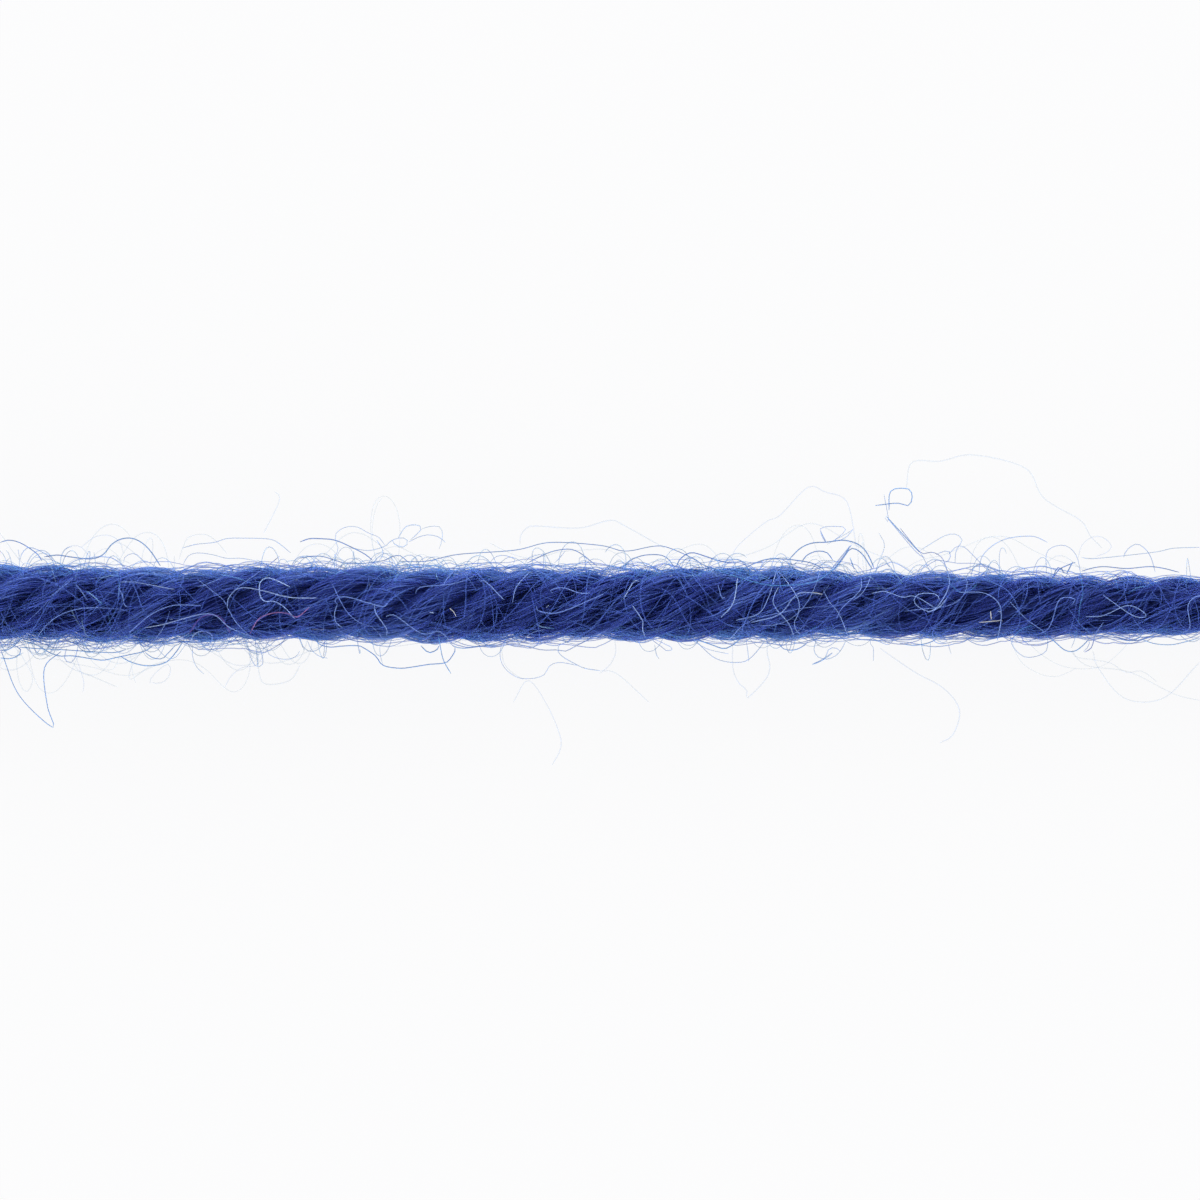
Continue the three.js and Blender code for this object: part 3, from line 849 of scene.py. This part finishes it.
def ply_fibres(rng, layer):
    """Fibres over the outer side of each ply, from one groove to the next, in locks.

    They turn with the ply's own spin, which runs against the twist of the strand."""
    locks, each = layer["locks"], layer["each"]
    count = locks * each

    def by_lock(values, kind):
        loose = rng.normal(0, 1, (*values.shape[:-1], count))
        return np.repeat(values, each, axis=-1) + LOCK_SPREAD[kind] * loose

    ply = np.repeat(rng.integers(0, PLY_COUNT, locks), each)
    crest = by_lock(rng.uniform(-HALF - LOCK_OVERRUN, HALF + LOCK_OVERRUN, locks), "place")
    spin = by_lock(rng.normal(PLY_SPIN, layer["spread"], locks), "spin")
    wave = by_lock(rng.uniform(*CRIMP_WAVE, (2, locks)), "wave")[..., None]
    phase = by_lock(rng.uniform(0, 2 * math.pi, (2, locks)), "phase")[..., None]
    crimp = layer["crimp"] * rng.uniform(*CRIMP_SHARE, (2, count, 1))
    outward = rng.uniform(0, 1, locks) ** layer["thinning"]
    share = layer["inner"] + (layer["outer"] - layer["inner"]) * outward
    share = by_lock(share, "share")[:, None]
    tint = by_lock(rng.uniform(layer["dark"], layer["light"], locks), "tint")
    half = HALF_SPAN / np.maximum(np.abs(spin - twist_rate(crest)), SLOWEST_CROSSING)
    ends = HALF + rng.uniform(*CUT_UNEVENNESS, (2, count))
    low = np.maximum(crest - half, -ends[0])[:, None]
    high = np.minimum(crest + half, ends[1])[:, None]
    t = np.linspace(0, 1, layer["steps"])[None, :]
    x = low + (high - low) * t
    ply_turn = PLY_ANGLE * (ply[:, None] + 0.5)
    ply_angle = twist(x) + ply_turn
    crest, spin = crest[:, None], spin[:, None]
    angle = twist(crest) + ply_turn + spin * (x - crest)
    angle = angle + crimp[0] * np.sin(2 * math.pi * x / wave[0] + phase[0]) / ply_radius(x)
    out = (share - TIP_DIP * (2 * t - 1) ** 4) * ply_radius(x)
    out = out + 0.5 * crimp[1] * np.sin(2 * math.pi * x / wave[1] + phase[1])
    paths = on_ply(x, ply_angle, angle, out)
    # Painted shade: the tint darkens into the grooves between the plies.
    into_groove = np.clip(np.abs(angle - ply_angle) / GROOVE_ANGLE, 0, 1) ** GROOVE_POWER
    round_strand = np.arctan2(paths[..., 1] - axis_y(x), paths[..., 2] - axis_z(x))
    # Painted light: the tint is made paler at the strand's sides.
    tints = tint[:, None] - PAINTED_GROOVE_SHADE * into_groove + painted_side_light(round_strand)
    radii = layer["radius"] * rng.uniform(*THICKNESS, count)
    underneath = np.cos(twist(crest) + ply_turn)[:, 0] < UNDERSIDE_COSINE
    kept = (high - low)[:, 0] > SHORTEST_FIBRE
    if layer["wool"] == "loose":
        kept &= ~underneath | (rng.random(count) < UNDERSIDE_SHARE)
    return paths[kept], radii[kept], tints[kept]


def runs_past_end(x, heading, length):
    """Whether a fibre that starts at x and heads that way would run past a cut end."""
    return (x * heading > 0) & (np.abs(x) + length > HALF)


def stray_fibres(rng, layer):
    """Paths that wander over the outline of the strand at a drifting height above it."""
    count, steps, step = layer["count"], layer["steps"], layer["step"]
    x = HALF * (2 * rng.random(count) ** LEFT_LEAN - 1)
    angle = rng.choice([-0.5, 0.5], count) * math.pi + layer["about_side"] * rng.normal(0, 1, count)
    way = rng.normal(layer["heading"], layer["spread"], count)
    way = way + math.pi * rng.integers(0, 2, count)
    way = way + math.pi * runs_past_end(x, np.cos(way), steps * step)
    bend = smooth_noise(rng, count, steps, step, layer["reach"], layer["curl"])
    drift = smooth_noise(rng, count, steps, step, LIFT_REACH, layer["lift_spread"])
    height = layer["lift"] + drift + layer["lift_spread"] * rng.normal(0, 1, (count, 1))
    from_tip = np.minimum(np.arange(steps), np.arange(steps)[::-1])
    lifted = TIP_LIFT_SHARE + (1 - TIP_LIFT_SHARE) * np.clip(from_tip / TIP_STEPS, 0, 1)
    paths = np.empty((count, steps, 3))
    painted_light = np.empty((count, steps))
    limit = HALF + rng.uniform(*STRAY_STOP, count)
    for index in range(steps):
        surface = outline(x, angle)
        surface = surface + layer["bridge"] * (BRIDGE_SHARE * along(x, "radius") - surface)
        out = surface + height[:, index] * lifted[index]
        paths[:, index] = on_strand(x, angle, out)
        # Painted light makes the tint paler at the strand's sides.
        painted_light[:, index] = painted_side_light(angle)
        way = way + bend[:, index] * step
        x = np.clip(x + np.cos(way) * step, -limit, limit)
        angle = angle + np.sin(way) * step / np.maximum(out, LEAST_OUT)
    radii = layer["radius"] * rng.uniform(*LOOSE_THICKNESS, count)
    return paths, radii, rng.uniform(layer["dark"], layer["light"], (count, 1)) + painted_light


def halo_fibres(rng, layer):
    """Free paths that start on the surface, bend smoothly and are drawn back past the leash."""
    count, steps, step = layer["count"], layer["steps"], layer["step"]
    x = (HALF - END_ROUNDING) * (2 * rng.random(count) ** LEFT_LEAN - 1)
    side = rng.choice([-1, 1], count)
    clump = CLUMPS[rng.integers(0, len(CLUMPS), count)]
    clumped = rng.random(count) < CLUMPED_SHARE
    x = np.where(clumped, clump[:, 0] + clump[:, 2] * rng.normal(0, 1, count), x)
    side = np.where(clumped, clump[:, 1], side)
    angle = side * math.pi / 2 + rng.normal(0, HALO_SPREAD, count)
    place = on_strand(x, angle, outline(x, angle))
    away = unit(place - on_strand(x, angle, np.zeros(count)))
    lengthwise = np.zeros((count, 3))
    heading = rng.choice([-1.0, 1.0], count)
    lengthwise[:, 0] = np.where(runs_past_end(x, heading, steps * step), -heading, heading)
    sideways = rng.normal(0, HALO_SPREAD, (count, 1)) * np.cross(away, lengthwise)
    way = unit(lengthwise + layer["outward"] * away + sideways)
    bends = np.stack([smooth_noise(rng, count, steps, step, layer["reach"], layer["curl"])
                      for _ in range(3)], -1)
    reach = layer["leash"] * rng.uniform(*LEASH_RANGE, count)
    paths = np.empty((count, steps, 3))
    free = np.empty((count, steps))
    for index in range(steps):
        paths[:, index] = place
        bend = bends[:, index] - (bends[:, index] * way).sum(-1, keepdims=True) * way
        inside = np.clip(place[:, 0], -HALF, HALF)
        back = on_strand(inside, np.zeros(count), np.zeros(count)) - place
        distance = np.linalg.norm(back, axis=-1)
        surface = outline(inside, np.arctan2(-back[:, 1], -back[:, 2]))
        free[:, index] = np.clip((distance - surface) / FREE_DISTANCE, 0, 1)
        over = np.clip((distance - surface - reach) / reach, 0, HALO_MOST_PULL)[:, None]
        under = np.clip((surface + HALO_CLEARANCE - distance) / HALO_SKIN, 0, 1)[:, None]
        homeward = unit(back)
        way = way + step * (bend + layer["pull"] * over * homeward) - under * HALO_PUSH * homeward
        way[:, 2] += step * HALO_LEVELLING * (axis_z(inside) - place[:, 2])
        way[:, 2] += step * HALO_FLOOR_LIFT * np.clip(HALO_LOWEST - place[:, 2], 0, 1)
        way = unit(way)
        place = place + way * step
    radii = layer["radius"] * rng.uniform(*LOOSE_THICKNESS, count)
    # Painted light: the tint grows paler the further the fibre stands free.
    return paths, radii, rng.uniform(layer["dark"], layer["light"], (count, 1)) + FREE_PAINTED_LIGHT * free


def through(points, step):
    """A smooth curve through the points, as steps of even length."""
    first = 2 * points[0] - points[1]
    last = 2 * points[-1] - points[-2]
    points = np.vstack([first, points, last])
    t = np.linspace(0, 1, SPAN_POINTS, endpoint=False)[:, None]
    spans = zip(points, points[1:], points[2:], points[3:])
    curve = np.vstack([between(*span, t) for span in spans] + [points[-2:-1]])
    run = np.concatenate([[0], np.cumsum(np.linalg.norm(np.diff(curve, axis=0), axis=1))])
    even = np.linspace(0, run[-1], max(4, int(round(run[-1] / step)) + 1))
    return np.stack([np.interp(even, run, curve[:, axis]) for axis in range(2)], -1)


def traced_strays(rng, trace):
    """The traced fibres, which lie on the strand's upper side or swing out at its mid height."""
    bundles = []
    step = trace["step"]
    for points in trace["strays"]:
        flat = through(np.array(points), step)
        x, y = flat[:, 0], flat[:, 1]
        from_axis = y - axis_y(x)
        crest = along(x, "radius")
        surface = outline(x, np.arcsin(np.clip(from_axis / crest, -1, 1)))
        surface = surface + STRAY_BRIDGE * (crest - surface)
        rise = np.sqrt(np.maximum(surface ** 2 - from_axis ** 2, 0))
        swing = smooth_noise(rng, 1, len(x), step, SWAY_REACH, trace["sway"])[0]
        z = axis_z(x) + rise + trace["lift"] + np.abs(swing)
        smooth = np.convolve(np.pad(z, 2, mode="edge"), np.full(5, 0.2), mode="valid")
        path = np.stack([x, y, smooth], -1)[None]
        radius = trace["radius"] * rng.uniform(*THICKNESS)
        tint = rng.uniform(trace["dark"], trace["light"])
        bundles.append((path, np.array([radius]), np.array([tint])))
    return bundles


def end_brush(rng):
    """The cut ends: a brush of fibre tips that fills each ply's section."""
    count = BRUSH["count"]
    side = rng.choice([-1.0, 1.0], count)
    ply = rng.integers(0, PLY_COUNT, count)
    share = np.sqrt(rng.uniform(0, 1, count))
    turn = rng.uniform(0, 2 * math.pi, count)
    start = HALF - rng.uniform(*BRUSH["start"], count)
    stop = HALF + rng.uniform(*BRUSH["stop"], count)
    t = np.linspace(0, 1, BRUSH["steps"])[None, :]
    x = side[:, None] * (start[:, None] + (stop - start)[:, None] * t)
    ply_angle = twist(x) + PLY_ANGLE * (ply[:, None] + 0.5)
    splay = 1 + rng.uniform(*BRUSH["splay"], count)[:, None] * t ** 2
    out = BRUSH["fill"] * share[:, None] * ply_radius(x) * splay
    angle = turn[:, None] + BRUSH["spin"] * x
    radii = BRUSH["radius"] * rng.uniform(*THICKNESS, count)
    tints = rng.uniform(BRUSH["dark"], BRUSH["light"], count)
    return on_ply(x, ply_angle, angle, out), radii, tints


def add_floor():
    """A pale table, lit evenly from within like the white field behind the strand."""
    mesh = bpy.data.meshes.new("table")
    corners = [(x * TABLE_HALF, y * TABLE_HALF, 0) for x, y in ((-1, -1), (1, -1), (1, 1), (-1, 1))]
    mesh.from_pydata(corners, [], [(0, 1, 2, 3)])
    table = bpy.data.objects.new("table", mesh)
    bpy.context.collection.objects.link(table)
    material, nodes, links = blank_material("table")
    surface = add_node(nodes, "ShaderNodeBsdfPrincipled", {
        "Base Color": (0.10, 0.10, 0.10, 1), "Roughness": 1.0, "Specular IOR Level": 0.0,
        "Emission Color": (0.995, 0.995, 1.0, 1), "Emission Strength": TABLE_GLOW})
    show(nodes, links, surface)
    mesh.materials.append(material)


def add_light():
    """Soft light from all round, brightest near the horizon and then at the far side."""
    world = bpy.data.worlds.new("studio")
    bpy.context.scene.world = world
    world.use_nodes = True
    nodes, links = world.node_tree.nodes, world.node_tree.links
    nodes.clear()
    way = nodes.new("ShaderNodeTexCoord")
    split = nodes.new("ShaderNodeSeparateXYZ")
    fade = add_node(nodes, "ShaderNodeMapRange", {
        "From Min": SKY_HEIGHTS[0], "From Max": SKY_HEIGHTS[1],
        "To Min": SKY_STRENGTHS[0], "To Max": SKY_STRENGTHS[1]})
    lean = add_node(nodes, "ShaderNodeMath", {1: SKY_LEAN, 2: 1.0})
    lean.operation = "MULTIPLY_ADD"
    strength = nodes.new("ShaderNodeMath")
    strength.operation = "MULTIPLY"
    background = add_node(nodes, "ShaderNodeBackground", {"Color": (0.98, 0.99, 1.0, 1)})
    output = nodes.new("ShaderNodeOutputWorld")
    join(links,
         (way, "Generated", split, "Vector"),
         (split, "Z", fade, "Value"),
         (split, "Y", lean, 0),
         (fade, "Result", strength, 0),
         (lean, "Value", strength, 1),
         (strength, "Value", background, "Strength"),
         (background, "Background", output, "Surface"))


add_camera()
bpy.context.scene.view_settings.view_transform = "Standard"
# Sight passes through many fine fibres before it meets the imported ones.
bpy.context.scene.cycles.transparent_max_bounces = 40

# A fibre is seen through twice, at its near and its far side, so each side is less solid.
WOOLS = {
    "packed": wool("ply_wool", PLY_COLOURS, 1.0, translucence=0.50, patchiness=0.20),
    "loose": wool("loose_wool", PLY_COLOURS, 0.50, patchiness=0.20),
    "sheath": wool("sheath_wool", SHEATH_COLOURS, 0.42, patchiness=0.06),
    "stray": wool("stray_wool", STRAY_COLOURS, 0.75),
    "edge": wool("edge_wool", EDGE_COLOURS, 0.62, patchiness=0.06),
    "halo": wool("halo_wool", HALO_COLOURS, 0.35, patchiness=0.06),
    "faint": wool("faint_wool", HALO_COLOURS, 0.10, patchiness=0.06),
    "pink": wool("pink_wool", PINK_COLOURS, 0.60),
    "straw": wool("straw_wool", STRAW_COLOURS, 0.85, roughness=0.35),
}

core = add_core(packed_wool())

rng = np.random.default_rng(SEED)
for columns, layers, make in [(PLY_COLUMNS, PLY_LAYERS, ply_fibres),
                              (STRAY_COLUMNS, STRAY_LAYERS, stray_fibres),
                              (HALO_COLUMNS, HALO_LAYERS, halo_fibres)]:
    for layer in rows(columns, layers):
        write_fibres(layer["name"], [make(rng, layer)], WOOLS[layer["wool"]])
for trace in rows(TRACE_COLUMNS, TRACES):
    write_fibres(trace["name"], traced_strays(rng, trace), WOOLS[trace["wool"]])
write_fibres("cut_ends", [end_brush(rng)], WOOLS["packed"])

add_floor()
add_light()
